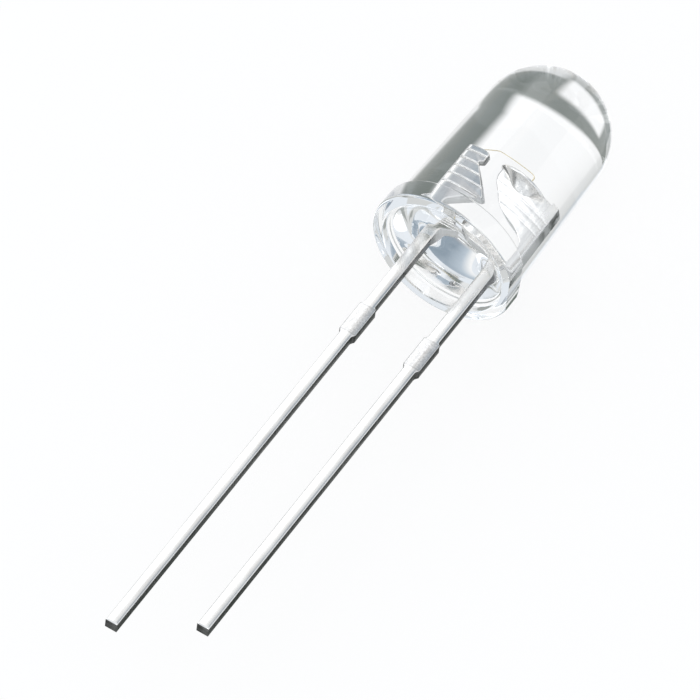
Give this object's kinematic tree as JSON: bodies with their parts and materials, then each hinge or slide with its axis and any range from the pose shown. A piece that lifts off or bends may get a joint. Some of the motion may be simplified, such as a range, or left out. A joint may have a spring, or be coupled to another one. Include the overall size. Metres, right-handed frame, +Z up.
{
  "type": "through hole led",
  "caption": "Clear round-dome through-hole LED with a flanged epoxy lens, a stamped cup-and-post lead frame and square leads.",
  "frame": {"origin": "centre of the seat, the flat rim under the flange that sits on the board", "axes": "+Y along the lens towards the dome, +X towards the cathode, +Z up with the part lying on its flange, square to the flat lead frame"},
  "size_m": [0.0054, 0.0281, 0.0056],
  "materials": {
    "clear_epoxy": "clear cast epoxy, gloss",
    "plated_steel": "bright tin plate over steel, fine drawing lines",
    "silver_epoxy": "matt grey, silver filled",
    "chip": "smooth dark grey",
    "gold_wire": "bright gold"
  },
  "bodies": {
    "root": {"lens_body": "clear_epoxy", "cathode_lead": "plated_steel", "anode_lead": "plated_steel", "die_attach": "silver_epoxy", "led_die": "chip", "bond_wire": "gold_wire"}
  },
  "joints": []
}
